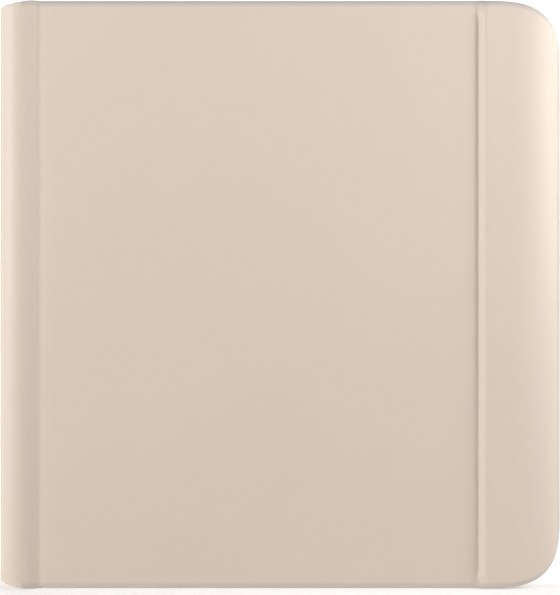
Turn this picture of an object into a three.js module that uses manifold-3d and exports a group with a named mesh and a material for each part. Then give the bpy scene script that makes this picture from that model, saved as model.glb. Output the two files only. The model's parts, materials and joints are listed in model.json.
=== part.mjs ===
// E-reader in a closed folio cover with a stylus in its spine.
// Millimetres. X runs across the cover with the spine at -X, Y runs from front to back, Z is up.
// The origin is the middle of the bottom edge. Each named mesh is one separate physical piece.
import * as THREE from 'three';
import { mergeVertices } from 'three/addons/utils/BufferGeometryUtils.js';
import Module from 'manifold-3d';

const wasm = await Module();
wasm.setup();

// Driving dimensions of the folio
const caseHeight = 165;
const caseHalfWidth = 79.7;
const caseHalfDepth = 6.8;
const cornerRadius = 15.3;
const glue = 0.05; // gap left between laminated layers
const fit = 0.3; // gap left between cut or turned neighbours
const skinThickness = 0.8;
const boardThickness = 1.2;
const liningThickness = 0.4;

// Levels of the front: the main panel lies lower than the spine and the edge strip
const panelY = -5.5;
const stripY = -caseHalfDepth;
const panelLeft = -68.2;
const panelRight = 55.4;
const stripFoot = 55.9;
const stripTop = 57.7;
const wrapStart = 65.8;
const wrapDepth = 7.4;
const wrapWidth = caseHalfWidth - wrapStart;
const wrapRimY = stripY + wrapDepth;

// Spine barrel
const spineX = -caseHalfWidth + caseHalfDepth;
const spineFlatX = -69.5;
const spineInset = 0.9;
const barrelWrap = Math.PI / 6; // how far the barrel runs on past its crest, towards the panel
const channelX = -73.7;
const channelRadius = 4.35;
const channelFloor = 3;

// Back shell and tray
const backLeft = -68.9;
const backRight = 79.5;
const backWallY = 1.0;
const trayLeft = -69.4;
const trayWall = 1.0;
const trayRimY = -1.5;

// Reader casing
const readerLeft = -68.2;
const readerRight = 76.4;
const readerBottom = 2;
const readerTop = 163;
const readerFrontY = -2.7;
const gripFrontY = -4.0;
const readerBackY = 4.3;
const casingWall = 1.0;
const gripFoot = 56.5;
const gripTop = 59.5;
const gripRoundX = 66;
const gripRoundY = 0.2;
const readerCorner = 12.2;
const readerLeftCorner = 4;

// Display
const screenLeft = -61.2;
const screenRight = 45.9;
const screenBottom = 13.7;
const screenTop = 156;
const stackLeft = -64.2;
const stackRight = 50;
const stackBottom = 7.2;
const stackTop = 160.5;

// Controls
const pageButtonX = 64.6;
const pageButtonWidth = 5.5;
const pageButtonLength = 30;
const pageButtonCentres = { lower: 64.5, upper: 100.5 };
const powerButtonX = 62;
const powerButtonZ = 24;
const powerButtonRadius = 5;

// Stylus
const stylusRadius = 4;
const stylusFoot = 3.3;
const stylusTop = 158.3;

const colours = {
  leather: 0xd9c8b9,
  lining: 0xb9aa9c,
  board: 0x8f8a82,
  tray: 0xcbbcae,
  casing: 0xe9e7e2,
  keys: 0xdcdad4,
  screen: 0xcfcfc8,
  clear: 0xdfe6e8,
  rubber: 0x2a2a2c,
  pcb: 0x1f5a3c,
  chip: 0x222426,
  steel: 0xb4b6b8,
  magnet: 0x9c9ea0,
  cell: 0x6c7076,
  flex: 0xb07a34,
  stylus: 0xe4e2dc,
  nib: 0x8a8c90,
};

const finishes = {
  leather: [0.62, 0],
  lining: [0.95, 0],
  board: [0.9, 0],
  tray: [0.6, 0],
  casing: [0.5, 0],
  keys: [0.45, 0],
  screen: [0.7, 0],
  clear: [0.2, 0],
  rubber: [0.85, 0],
  pcb: [0.5, 0],
  chip: [0.5, 0],
  steel: [0.35, 1],
  magnet: [0.3, 1],
  cell: [0.45, 0.3],
  flex: [0.45, 0.2],
  stylus: [0.4, 0],
  nib: [0.6, 0],
};

// Solids ------------------------------------------------------------------------------------

function toSolid(geometry) {
  geometry.deleteAttribute('normal');
  geometry.deleteAttribute('uv');
  const merged = mergeVertices(geometry, 1e-4);
  return new wasm.Manifold(new wasm.Mesh({
    numProp: 3,
    vertProperties: new Float32Array(merged.attributes.position.array),
    triVerts: new Uint32Array(merged.index.array),
  }));
}

function toGeometry(solid) {
  const mesh = solid.getMesh();
  const geometry = new THREE.BufferGeometry();
  geometry.setAttribute('position', new THREE.BufferAttribute(mesh.vertProperties, 3));
  geometry.setIndex(new THREE.BufferAttribute(mesh.triVerts, 1));
  geometry.computeVertexNormals();
  return geometry;
}

function box(x0, x1, y0, y1, z0, z1) {
  const geometry = new THREE.BoxGeometry(x1 - x0, y1 - y0, z1 - z0);
  geometry.translate((x0 + x1) / 2, (y0 + y1) / 2, (z0 + z1) / 2);
  return toSolid(geometry);
}

// An outline drawn in X and Z, given thickness from the front level to the back level
function plate(outline, frontY, backY, curveSegments = 10) {
  const depth = backY - frontY;
  const geometry = new THREE.ExtrudeGeometry(outline, { depth, bevelEnabled: false, curveSegments });
  geometry.rotateX(Math.PI / 2);
  geometry.translate(0, backY, 0);
  return toSolid(geometry);
}

// A cross-section drawn in X and Y, run up from one height to another
function bar(points, z0, z1) {
  const section = new THREE.Shape(points.map(([x, y]) => new THREE.Vector2(x, y)));
  const geometry = new THREE.ExtrudeGeometry(section, { depth: z1 - z0, bevelEnabled: false });
  geometry.translate(0, 0, z0);
  return toSolid(geometry);
}

// A round piece standing on height 0 of its profile, given as [radius, height] from foot to top
function turned(profile, x, y, z, segments = 16) {
  const geometry = new THREE.LatheGeometry(profile.map(([r, h]) => new THREE.Vector2(r, h)), segments);
  geometry.rotateX(Math.PI / 2);
  geometry.translate(x, y, z);
  return toSolid(geometry);
}

// A round pin whose axis runs along Y
function pinY(radius, x, z, y0, y1, segments = 16) {
  const geometry = new THREE.CylinderGeometry(radius, radius, y1 - y0, segments);
  geometry.translate(x, (y0 + y1) / 2, z);
  return toSolid(geometry);
}

// A rectangle in X and Z whose left and right corners have their own radii
function panel(x0, x1, z0, z1, leftRadius, rightRadius) {
  const shape = new THREE.Shape();
  const quarter = Math.PI / 2;
  shape.moveTo(x0 + leftRadius, z0);
  shape.lineTo(x1 - rightRadius, z0);
  shape.absarc(x1 - rightRadius, z0 + rightRadius, rightRadius, -quarter, 0);
  shape.lineTo(x1, z1 - rightRadius);
  shape.absarc(x1 - rightRadius, z1 - rightRadius, rightRadius, 0, quarter);
  shape.lineTo(x0 + leftRadius, z1);
  shape.absarc(x0 + leftRadius, z1 - leftRadius, leftRadius, quarter, 2 * quarter);
  shape.lineTo(x0, z0 + leftRadius);
  shape.absarc(x0 + leftRadius, z0 + leftRadius, leftRadius, 2 * quarter, 3 * quarter);
  return shape;
}

// A flat ribbon that follows a path in X and Y and is as wide as z0 to z1
function ribbon(path, thickness, z0, z1) {
  const back = path.map(([x, y, sx, sy]) => [x + sx * thickness, y + sy * thickness]).reverse();
  return bar([...path.map(([x, y]) => [x, y]), ...back], z0, z1);
}

// Part of an ellipse in X and Y, from its front pole (0) to its right pole (1)
function quarterEllipse(cx, cy, a, b, end = 1, steps = 12) {
  const points = [];
  for (let i = 0; i <= steps; i += 1) {
    const angle = (i / steps) * end * (Math.PI / 2);
    points.push([cx + a * Math.sin(angle), cy - b * Math.cos(angle)]);
  }
  return points;
}

// Part of a circle in X and Y
function arcXY(cx, cy, radius, from, to, steps = 20) {
  const points = [];
  for (let i = 0; i <= steps; i += 1) {
    const angle = from + ((to - from) * i) / steps;
    points.push([cx + radius * Math.cos(angle), cy + radius * Math.sin(angle)]);
  }
  return points;
}

function group(pieces) {
  const result = new THREE.Group();
  for (const [name, solid, kind] of pieces) {
    const [roughness, metalness] = finishes[kind];
    const material = new THREE.MeshStandardMaterial({ color: colours[kind], roughness, metalness });
    const mesh = new THREE.Mesh(toGeometry(solid), material);
    mesh.name = name;
    result.add(mesh);
  }
  return result;
}

// Folio, fixed to the reader ----------------------------------------------------------------

const skinBackY = caseHalfDepth - skinThickness;
const trayBackY = skinBackY - glue;
const trayFloorY = trayBackY - boardThickness;
const trayInset = skinThickness + glue;
const trayRight = backRight - trayInset;
const portX = 4;
const portNotch = [portX - 7, portX + 7];
const tallRimEnd = 60;

function powerButtonHole(frontY, backY) {
  return pinY(powerButtonRadius + 2.2, powerButtonX, powerButtonZ, frontY, backY, 24);
}

function backSkin() {
  const outer = panel(backLeft, backRight, 0, caseHeight, 0.5, cornerRadius - 0.2);
  const inner = panel(
    backLeft - 5,
    backRight - skinThickness,
    skinThickness,
    caseHeight - skinThickness,
    0.5,
    cornerRadius - 0.2 - skinThickness,
  );
  return plate(outer, backWallY, caseHalfDepth)
    .subtract(plate(inner, backWallY - 1, skinBackY))
    .subtract(box(...portNotch, 0, 4.6, -1, 3))
    .subtract(powerButtonHole(0, 8));
}

function trayShell() {
  const radius = cornerRadius - 0.2 - trayInset;
  const bottom = trayInset;
  const top = caseHeight - trayInset;
  const low = panel(trayLeft, trayRight, bottom, top, 3, radius);
  const hollow = panel(
    trayLeft + trayWall,
    trayRight - trayWall,
    bottom + trayWall,
    top - trayWall,
    2.2,
    radius - trayWall,
  );
  const tall = plate(low, trayRimY, trayBackY).intersect(box(-90, tallRimEnd, -9, 9, -1, 170));
  return plate(low, backWallY + 0.1, trayBackY)
    .add(tall)
    .subtract(plate(hollow, -3, trayFloorY))
    .subtract(box(...portNotch, -4, 4.6, -1, 3))
    .subtract(powerButtonHole(0, 8));
}

function trayLining() {
  const sheet = panel(-67.9, 76.8, 2.4, 162.6, 2, readerCorner);
  return plate(sheet, readerBackY + glue, trayFloorY - glue).subtract(powerButtonHole(0, 8));
}

// Reader casing -----------------------------------------------------------------------------

const partingY = 0;
const innerFrontY = -2.05;
const innerGripY = gripFrontY + casingWall;
const screws = [[55, 8, innerFrontY], [55, 157, innerFrontY], [71, 36, -2.4], [71, 138, -2.4]];

function casingOutline(inset = 0) {
  return panel(
    readerLeft + inset,
    readerRight - inset,
    readerBottom + inset,
    readerTop - inset,
    readerLeftCorner - inset,
    readerCorner - inset,
  );
}

function frontSection(inset, frontY, endY) {
  const a = readerRight - gripRoundX - inset;
  const b = gripRoundY - gripFrontY - inset;
  const round = quarterEllipse(gripRoundX, gripRoundY, a, b, 0.96);
  return [
    [readerLeft + inset, frontY],
    [gripFoot, frontY],
    [gripTop, gripFrontY + inset],
    ...round,
    [readerRight - inset, gripRoundY - 0.1],
    [readerRight - inset, endY],
    [readerLeft + inset, endY],
  ];
}

function pageButtonShape(centre, grow) {
  const halfWidth = pageButtonWidth / 2 + grow;
  const halfLength = pageButtonLength / 2 + grow;
  return panel(
    pageButtonX - halfWidth,
    pageButtonX + halfWidth,
    centre - halfLength,
    centre + halfLength,
    halfWidth - 0.05,
    halfWidth - 0.05,
  );
}

function frontBezel() {
  const wallEnd = partingY - 0.2;
  let shell = bar(frontSection(0, readerFrontY, 0.2), readerBottom, readerTop)
    .intersect(plate(casingOutline(), -5, wallEnd));
  const cavity = bar(frontSection(casingWall, innerFrontY, 0.2), readerBottom + 1, readerTop - 1)
    .intersect(plate(casingOutline(casingWall), -5, 1));
  const opening = panel(screenLeft, screenRight, screenBottom, screenTop, 0.6, 0.6);
  shell = shell.subtract(cavity).subtract(plate(opening, -4, 0));
  for (const centre of Object.values(pageButtonCentres)) {
    shell = shell.subtract(plate(pageButtonShape(centre, fit), -5, -1.5, 4));
  }
  for (const [x, z, y] of screws) {
    shell = shell.add(pinY(1.8, x, z, y - 0.2, -0.6, 12));
    shell = shell.subtract(pinY(0.8, x, z, y + 0.1, 0, 12));
  }
  return shell;
}

function rearCover() {
  const wallStart = partingY + 0.2;
  const rounding = 1.6;
  const section = [
    [readerLeft, wallStart],
    [readerRight, wallStart],
    [readerRight, readerBackY - rounding],
    [readerRight - rounding, readerBackY],
    [readerLeft + rounding, readerBackY],
    [readerLeft, readerBackY - rounding],
  ];
  const cavity = plate(casingOutline(casingWall), 0, readerBackY - casingWall);
  return bar(section, readerBottom, readerTop)
    .intersect(plate(casingOutline(), -1, 6))
    .subtract(cavity)
    .subtract(box(portX - 4.6, portX + 4.6, 0.3, 3.2, 1, 4))
    .subtract(pinY(powerButtonRadius + fit, powerButtonX, powerButtonZ, 3, 5, 20));
}

function housingSeal() {
  return plate(casingOutline(0.3), -0.15, 0.15).subtract(plate(casingOutline(0.9), -1, 1));
}

const midframeFrontY = -0.55;
const midframeBackY = 0.25;

function midframe() {
  let sheet = plate(panel(-66.8, 74.5, 3.4, 161.6, 2, 10.5), midframeFrontY, midframeBackY)
    .subtract(box(portX - 6, portX + 6, -2, 2, 0, 10))
    .subtract(box(52.2, 54.2, -2, 2, 93, 127))
    .subtract(box(55.9, 58.1, -2, 2, 58, 68));
  for (const [x, z] of screws) {
    sheet = sheet.subtract(pinY(0.9, x, z, -2, 2, 12));
  }
  return sheet;
}

function frameScrew([x, z, y]) {
  return pinY(0.5, x, z, y + 0.5, 0.4, 10).add(pinY(1.3, x, z, 0.3, 0.9, 12));
}

// Display and electronics -------------------------------------------------------------------

function stackLayer(y0, y1) {
  return box(stackLeft, stackRight, y0, y1, stackBottom, stackTop);
}

function displayGasket() {
  const hole = box(screenLeft - 0.8, screenRight + 0.8, -3, 0, screenBottom - 0.8, screenTop + 0.8);
  return stackLayer(-2.0, -1.8).subtract(hole);
}

function displayFlex() {
  const path = [[50.3, -1.0, 0, 1], [53.2, -1.0, -1, 1], [53.2, 1.45, -1, -1], [46.5, 1.45, 0, -1]];
  return ribbon(path, 0.15, 95, 125);
}

function buttonFlex() {
  const path = [[59.7, -1.0, 0, 1], [57.0, -1.0, 1, 1], [57.0, 1.45, 1, 1], [46, 1.45, 0, 1]];
  return ribbon(path, 0.15, 60, 66);
}

function mainboard() {
  const shape = new THREE.Shape([
    [-6, 9.4], [68, 9.4], [68, 34], [50, 34], [50, 150], [2, 150], [2, 41], [-6, 41],
  ].map(([x, z]) => new THREE.Vector2(x, z)));
  return plate(shape, 0.35, 1.15).subtract(pinY(1.9, 55, 8, 0, 2, 16));
}

function usbPort() {
  const shell = panel(portX - 4.45, portX + 4.45, 0, 2.75, 1.3, 1.3);
  const mouth = panel(portX - 4.15, portX + 4.15, 0.3, 2.45, 1.05, 1.05);
  const length = 6.8;
  const stand = (shape, depth) => {
    const geometry = new THREE.ExtrudeGeometry(shape, { depth, bevelEnabled: false, curveSegments: 4 });
    geometry.translate(0, 0.4, 2.3);
    return toSolid(geometry);
  };
  const shellSolid = stand(shell, length);
  const mouthSolid = stand(mouth, length - 0.5).translate([0, 0, -0.3]);
  return shellSolid.subtract(mouthSolid);
}

// Controls ----------------------------------------------------------------------------------

function pageButton(centre) {
  const cap = plate(pageButtonShape(centre, 0), gripFrontY - 0.15, -2.6, 4);
  return cap.add(plate(pageButtonShape(centre, 0.6), -2.8, -2.4, 4));
}

function pageSwitch(centre) {
  return box(pageButtonX - 2.5, pageButtonX + 2.5, -1.95, -1.3, centre - 2, centre + 2);
}

function powerButton() {
  const cap = pinY(powerButtonRadius, powerButtonX, powerButtonZ, 2.9, 4.25, 20);
  return cap.add(pinY(powerButtonRadius + 0.8, powerButtonX, powerButtonZ, 2.6, 3.1, 20));
}

// Spine -------------------------------------------------------------------------------------

const half = Math.PI / 2;
const spineCoreRadius = caseHalfDepth - skinThickness - glue;
const spineCoreFlatX = spineFlatX - liningThickness - glue;

function spineSkin() {
  const inner = caseHalfDepth - skinThickness;
  const skinEndX = panelLeft - 0.5;
  const section = [
    [spineFlatX, caseHalfDepth],
    ...arcXY(spineX, 0, caseHalfDepth, half, 3 * half + barrelWrap),
    [skinEndX, panelY],
    [skinEndX, panelY + skinThickness],
    ...arcXY(spineX, 0, inner, 3 * half + barrelWrap, half),
    [spineFlatX, inner],
  ];
  return bar(section, spineInset, caseHeight - spineInset);
}

function spineCore() {
  const section = [
    [spineCoreFlatX, spineCoreRadius],
    ...arcXY(spineX, 0, spineCoreRadius, half, 3 * half),
    [-71.5, -5.7],
    [-70.2, -5.2],
    [spineCoreFlatX, -5.0],
  ];
  const bore = turned(
    [[0, 0], [channelRadius, 0], [channelRadius, 170], [0, 170]],
    channelX,
    0,
    channelFloor,
    28,
  );
  return bar(section, spineInset, caseHeight - spineInset)
    .subtract(bore)
    .subtract(box(channelX + 1, -68, -2.6, 2.6, channelFloor, 170));
}

function spineLining() {
  const strip = box(
    spineFlatX - liningThickness,
    spineFlatX,
    -4.5,
    5.9,
    spineInset,
    caseHeight - spineInset,
  );
  return strip.subtract(box(-72, -68, -2.7, 2.7, channelFloor, 170));
}

// Stylus, standing on its nib in the spine's channel ----------------------------------------

function stylusPiece(profile, z = 0, segments = 24) {
  return turned(profile, channelX, 0, z, segments);
}

function stylusBarrel() {
  const wall = 0.8;
  const tube = stylusPiece([
    [stylusRadius - wall, 22.3],
    [stylusRadius, 22.3],
    [stylusRadius, 150],
    [stylusRadius - wall, 150],
    [stylusRadius - wall, 22.3],
  ]);
  return tube.subtract(box(channelX + 1, channelX + 6, -1.6, 1.6, 33.7, 56.3));
}

function stylusCone() {
  return stylusPiece([
    [1.0, 5.2], [1.5, 5.2], [2.4, 9], [3.3, 15], [stylusRadius, 22], [1.0, 22], [1.0, 5.2],
  ]);
}

function stylusNib() {
  return stylusPiece([
    [0, stylusFoot], [0.35, stylusFoot + 0.1], [0.7, stylusFoot + 1], [0.7, 16], [0, 16],
  ], 0, 12);
}

function stylusTailCap() {
  return stylusPiece([
    [0, 150.3],
    [stylusRadius, 150.3],
    [stylusRadius, stylusTop - 1.8],
    [stylusRadius - 0.5, stylusTop - 0.7],
    [stylusRadius - 1.6, stylusTop],
    [0, stylusTop],
  ]);
}

function stylusButton() {
  return box(channelX + 2.5, channelX + stylusRadius - 0.03, -1.3, 1.3, 34, 56);
}

// Front cover -------------------------------------------------------------------------------

const hem = skinThickness;
const boardInset = hem + glue;
const liningInset = 1.4;
const panelBoardY = panelY + skinThickness + glue;
const panelBoardBackY = panelBoardY + boardThickness;
const panelLiningY = panelBoardBackY + glue;

function frontSheet(inset, y0, y1) {
  const left = panelLeft + inset;
  const right = panelRight - inset;
  return box(left, right, y0, y1, inset, caseHeight - inset);
}

function frontSkin() {
  const pocket = box(-90, 90, panelBoardY - glue, 0, hem, caseHeight - hem);
  return frontSheet(0, panelY, panelBoardBackY).subtract(pocket);
}

// Edge strip: a raised strip that wraps round the reader's grip side ------------------------

const slope = stripTop - stripFoot;

function stripCurve(inset, end = 1) {
  const a = wrapWidth - inset;
  const b = wrapDepth - inset;
  const foot = stripFoot + (inset > 0.8 ? 0.3 : 0);
  const top = stripFoot + slope + inset * 0.3;
  return [
    [foot, panelY + inset],
    [top, stripY + inset],
    ...quarterEllipse(wrapStart, wrapRimY, a, b, end),
  ];
}

function stripSection(outer, inner, end = 1) {
  return [...stripCurve(outer, end), ...stripCurve(inner, end).reverse()];
}

function stripOutline(inset) {
  return panel(
    50,
    caseHalfWidth - inset,
    inset,
    caseHeight - inset,
    0.5,
    cornerRadius - inset,
  );
}

const stripBoardInset = boardInset;
const stripBoardBack = stripBoardInset + boardThickness;
const stripLiningInset = stripBoardBack + glue;
const stripLiningBack = stripLiningInset + liningThickness;
const rimEnd = 0.93;

function flapSkin() {
  const whole = bar(stripSection(0, stripBoardBack), 0, caseHeight)
    .intersect(plate(stripOutline(0), -8, 8));
  const pocket = bar(stripSection(skinThickness, stripBoardBack + 1, rimEnd), -1, caseHeight + 1)
    .intersect(plate(stripOutline(hem), -8, 8));
  return whole.subtract(pocket);
}

const flapMagnets = { lower: 22.5, upper: 142.5 };
const sleepMagnetZ = 125.5;

function magnetPocket(z, halfLength) {
  return box(60.5, 65.5, -5.6, -4, z - halfLength - fit, z + halfLength + fit);
}

function flapMagnet(z, halfLength) {
  return box(60.8, 65.2, -5.3, -4.78, z - halfLength, z + halfLength);
}

function flapBoard() {
  const section = stripSection(stripBoardInset, stripBoardBack, rimEnd - 0.03);
  let board = bar(section, boardInset, caseHeight - boardInset)
    .intersect(plate(stripOutline(boardInset + 0.05), -8, 8));
  for (const z of Object.values(flapMagnets)) {
    board = board.subtract(magnetPocket(z, 7));
  }
  return board.subtract(magnetPocket(sleepMagnetZ, 3));
}

function flapLining() {
  const section = stripSection(stripLiningInset, stripLiningBack, 0.97);
  return bar(section, liningInset, caseHeight - liningInset)
    .intersect(plate(stripOutline(liningInset), -8, 8));
}

// Assembly ----------------------------------------------------------------------------------

const reader = group([
  ['back_skin', backSkin(), 'leather'],
  ['tray_shell', trayShell(), 'tray'],
  ['tray_lining', trayLining(), 'lining'],
  ['front_bezel', frontBezel(), 'casing'],
  ['rear_cover', rearCover(), 'casing'],
  ['housing_seal', housingSeal(), 'rubber'],
  ['midframe', midframe(), 'steel'],
  ...screws.map((place, i) => [`frame_screw_${i + 1}`, frameScrew(place), 'steel']),
  ['display_gasket', displayGasket(), 'rubber'],
  ['touch_panel', stackLayer(-1.75, -1.55), 'clear'],
  ['light_guide', stackLayer(-1.5, -1.2), 'clear'],
  ['eink_panel', stackLayer(-1.15, -0.6), 'screen'],
  ['led_strip', box(-60, 46, -1.75, -1.0, 5.3, 6.9), 'flex'],
  ['display_flex', displayFlex(), 'flex'],
  ['display_connector', box(42, 46.2, 1.2, 1.9, 94, 126), 'chip'],
  ['mainboard', mainboard(), 'pcb'],
  ['processor_shield', box(8, 34, 1.2, 2.8, 90, 125), 'steel'],
  ['radio_shield', box(28, 47, 1.2, 2.6, 130, 146), 'steel'],
  ['storage_chip', box(10, 24, 1.2, 2.2, 60, 76), 'chip'],
  ['wifi_antenna', box(20, 48, 0.35, 0.6, 152, 160), 'flex'],
  ['battery', box(-62, -2, 0.3, 3.1, 45, 125), 'cell'],
  ['battery_lead', box(-1.7, 7.7, 1.45, 2.2, 81, 85), 'rubber'],
  ['usb_port', usbPort(), 'steel'],
  ['usb_tongue', box(portX - 3.3, portX + 3.3, 1.45, 2.1, 3.6, 8.2), 'chip'],
  ['power_switch', box(59, 65, 1.2, 2.25, 21, 27), 'chip'],
  ['button_board', box(60, 70, -1.25, -0.65, 44, 130), 'pcb'],
  ['button_flex', buttonFlex(), 'flex'],
  ['page_switch_lower', pageSwitch(pageButtonCentres.lower), 'chip'],
  ['page_switch_upper', pageSwitch(pageButtonCentres.upper), 'chip'],
  ['hall_sensor', box(61, 64, -1.95, -1.3, 124, 127), 'chip'],
  ['reader_magnet_lower', box(62, 68, -2.6, -1.4, 15, 30), 'magnet'],
  ['reader_magnet_upper', box(62, 68, -2.6, -1.4, 135, 150), 'magnet'],
]);

const controls = group([
  ['page_button_lower', pageButton(pageButtonCentres.lower), 'keys'],
  ['page_button_upper', pageButton(pageButtonCentres.upper), 'keys'],
  ['power_button', powerButton(), 'keys'],
]);

const spine = group([
  ['spine_skin', spineSkin(), 'leather'],
  ['spine_core', spineCore(), 'tray'],
  ['spine_lining', spineLining(), 'lining'],
]);

const stylus = group([
  ['stylus_barrel', stylusBarrel(), 'stylus'],
  ['stylus_cone', stylusCone(), 'stylus'],
  ['stylus_nib', stylusNib(), 'nib'],
  ['stylus_tail_cap', stylusTailCap(), 'stylus'],
  ['stylus_button', stylusButton(), 'keys'],
  ['stylus_battery', stylusPiece([[0, 96], [2.6, 96], [2.6, 138], [0, 138]], 0, 16), 'cell'],
  ['stylus_board', box(channelX - 0.4, channelX + 0.4, -2.5, 2.5, 28, 92), 'pcb'],
]);

const frontCover = group([
  ['front_skin', frontSkin(), 'leather'],
  ['front_board', frontSheet(boardInset, panelBoardY, panelBoardBackY), 'board'],
  ['front_lining', frontSheet(liningInset, panelLiningY, panelLiningY + liningThickness), 'lining'],
]);

const gripFlap = group([
  ['flap_skin', flapSkin(), 'leather'],
  ['flap_board', flapBoard(), 'board'],
  ['flap_lining', flapLining(), 'lining'],
  ['flap_magnet_lower', flapMagnet(flapMagnets.lower, 7), 'magnet'],
  ['flap_magnet_upper', flapMagnet(flapMagnets.upper, 7), 'magnet'],
  ['sleep_magnet', flapMagnet(sleepMagnetZ, 3), 'magnet'],
]);

const eReader = new THREE.Group();
eReader.add(reader, controls, spine, stylus, frontCover, gripFlap);

export default eReader;
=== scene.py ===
"""An e-reader in its folio cover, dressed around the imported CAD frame. Mesh code works in millimetres."""
import json
import math

import bmesh
import bpy
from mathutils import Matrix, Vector


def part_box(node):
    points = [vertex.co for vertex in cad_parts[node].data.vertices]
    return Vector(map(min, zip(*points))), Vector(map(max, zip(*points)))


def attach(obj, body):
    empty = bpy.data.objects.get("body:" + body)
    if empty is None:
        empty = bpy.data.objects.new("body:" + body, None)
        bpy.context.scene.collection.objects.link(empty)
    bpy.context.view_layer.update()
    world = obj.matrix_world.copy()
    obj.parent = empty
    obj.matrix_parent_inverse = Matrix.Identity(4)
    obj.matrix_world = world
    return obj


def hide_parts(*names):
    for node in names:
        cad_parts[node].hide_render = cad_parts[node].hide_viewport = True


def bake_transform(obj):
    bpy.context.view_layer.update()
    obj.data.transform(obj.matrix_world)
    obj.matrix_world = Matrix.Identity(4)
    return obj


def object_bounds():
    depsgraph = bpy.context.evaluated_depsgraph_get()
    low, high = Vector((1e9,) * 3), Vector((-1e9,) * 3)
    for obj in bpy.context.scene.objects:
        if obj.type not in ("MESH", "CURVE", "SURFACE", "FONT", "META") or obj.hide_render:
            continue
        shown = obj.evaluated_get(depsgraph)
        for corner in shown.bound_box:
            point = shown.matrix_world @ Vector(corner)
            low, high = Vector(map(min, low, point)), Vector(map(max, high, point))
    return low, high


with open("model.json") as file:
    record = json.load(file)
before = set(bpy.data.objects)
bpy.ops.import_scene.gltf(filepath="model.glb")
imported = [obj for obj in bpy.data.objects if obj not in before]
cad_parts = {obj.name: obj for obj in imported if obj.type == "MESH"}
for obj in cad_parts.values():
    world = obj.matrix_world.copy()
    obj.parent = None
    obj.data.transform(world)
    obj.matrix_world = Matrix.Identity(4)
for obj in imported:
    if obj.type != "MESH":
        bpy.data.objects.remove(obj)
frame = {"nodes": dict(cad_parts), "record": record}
cad_lo, cad_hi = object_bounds()

MM = 0.001


def box_mm(node):
    """The lowest and highest corner of a CAD node, in millimetres."""
    lo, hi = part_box(node)
    return [c / MM for c in lo], [c / MM for c in hi]


# Driving places, read from the frame

SKIN = 0.8
LAYER_GAP = 0.04
GLUE_LINE = 0.05
WRAP_WIDTH = 13.9

case_lo = [c / MM for c in cad_lo]
case_hi = [c / MM for c in cad_hi]
HEIGHT = case_hi[2]
MIDDLE_Z = HEIGHT / 2
STRIP_Y = case_lo[1]
BACK_Y = case_hi[1]
LEFT_X = case_lo[0]
RIGHT_X = case_hi[0]

front_lo, front_hi = box_mm("front_skin")
PANEL_Y = front_lo[1]
PANEL_BACK_Y = box_mm("front_board")[1][1] + GLUE_LINE
PANEL_THICKNESS = PANEL_BACK_Y - PANEL_Y

flap_lo, flap_hi = box_mm("flap_skin")
RIM_Y = flap_hi[1]
CREASE_X = (front_hi[0] + flap_lo[0]) / 2
WRAP_X = RIGHT_X - WRAP_WIDTH
WRAP_DEPTH = RIM_Y - STRIP_Y

BARREL_R = (BACK_Y - STRIP_Y) / 2
BARREL_X = LEFT_X + BARREL_R


# Small maths


def smooth(t):
    """An S-shaped ease from 0 to 1."""
    t = min(1.0, max(0.0, t))
    return t * t * (3 - 2 * t)


def ramp(value, start, end):
    """0 before start, 1 past end, eased between them."""
    return smooth((value - start) / (end - start))


def spread(start, end, count):
    """count + 1 evenly spaced numbers from start to end."""
    return [start + (end - start) * i / count for i in range(count + 1)]


def arc(cx, cy, a, b, start, end, count):
    """Points of an ellipse in a plane; angles in degrees."""
    angles = [math.radians(v) for v in spread(start, end, count)]
    return [(cx + a * math.cos(t), cy + b * math.sin(t)) for t in angles]


def quarter(radius, steps):
    """A rounded edge as (distance in from the edge, depth below the face), from the edge to the face."""
    angles = [math.radians(v) for v in spread(0, 90, steps)]
    return [(radius * (1 - math.cos(t)), radius * (1 - math.sin(t))) for t in angles]


def lookup(table, x):
    """The value at x in a rising table of (x, value) pairs."""
    if x <= table[0][0]:
        return table[0][1]
    for (x0, v0), (x1, v1) in zip(table, table[1:]):
        if x <= x1:
            return v0 + (v1 - v0) * (x - x0) / (x1 - x0)
    return table[-1][1]


def normals_of(path):
    """The unit normal on the right-hand side of each point of an open path."""
    found = []
    for i in range(len(path)):
        x0, y0 = path[max(0, i - 1)]
        x1, y1 = path[min(len(path) - 1, i + 1)]
        length = math.hypot(x1 - x0, y1 - y0) or 1.0
        found.append(((y1 - y0) / length, (x0 - x1) / length))
    return found


# Mesh building

WELD_M = 1e-7


def make_object(name, points, faces, material, smooth_angle=40, shade_or_glow=None):
    """A mesh object from points in millimetres, with its faces pointing out.

    The per-point number is stored as a mesh attribute that a material reads: painted shade on the leather's
    hems, glow on the sweep.
    """
    mesh = bpy.data.meshes.new(name)
    mesh.from_pydata([(x * MM, y * MM, z * MM) for x, y, z in points], [], faces)
    if shade_or_glow:
        mesh.attributes.new("shade_or_glow", "FLOAT", "POINT").data.foreach_set("value", shade_or_glow)
    mesh.validate()
    bm = bmesh.new()
    bm.from_mesh(mesh)
    bmesh.ops.remove_doubles(bm, verts=bm.verts, dist=WELD_M)
    bmesh.ops.dissolve_degenerate(bm, edges=bm.edges, dist=WELD_M)
    bmesh.ops.recalc_face_normals(bm, faces=bm.faces)
    bm.to_mesh(mesh)
    bm.free()
    obj = bpy.data.objects.new(name, mesh)
    bpy.context.collection.objects.link(obj)
    mesh.materials.append(material)
    shade(obj, smooth_angle)
    return obj


def shade(obj, smooth_angle):
    """Smooth shading that keeps edges sharper than the angle."""
    mesh = obj.data
    mesh.polygons.foreach_set("use_smooth", [True] * len(mesh.polygons))
    mesh.set_sharp_from_angle(angle=math.radians(smooth_angle))
    mesh.update()


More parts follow.
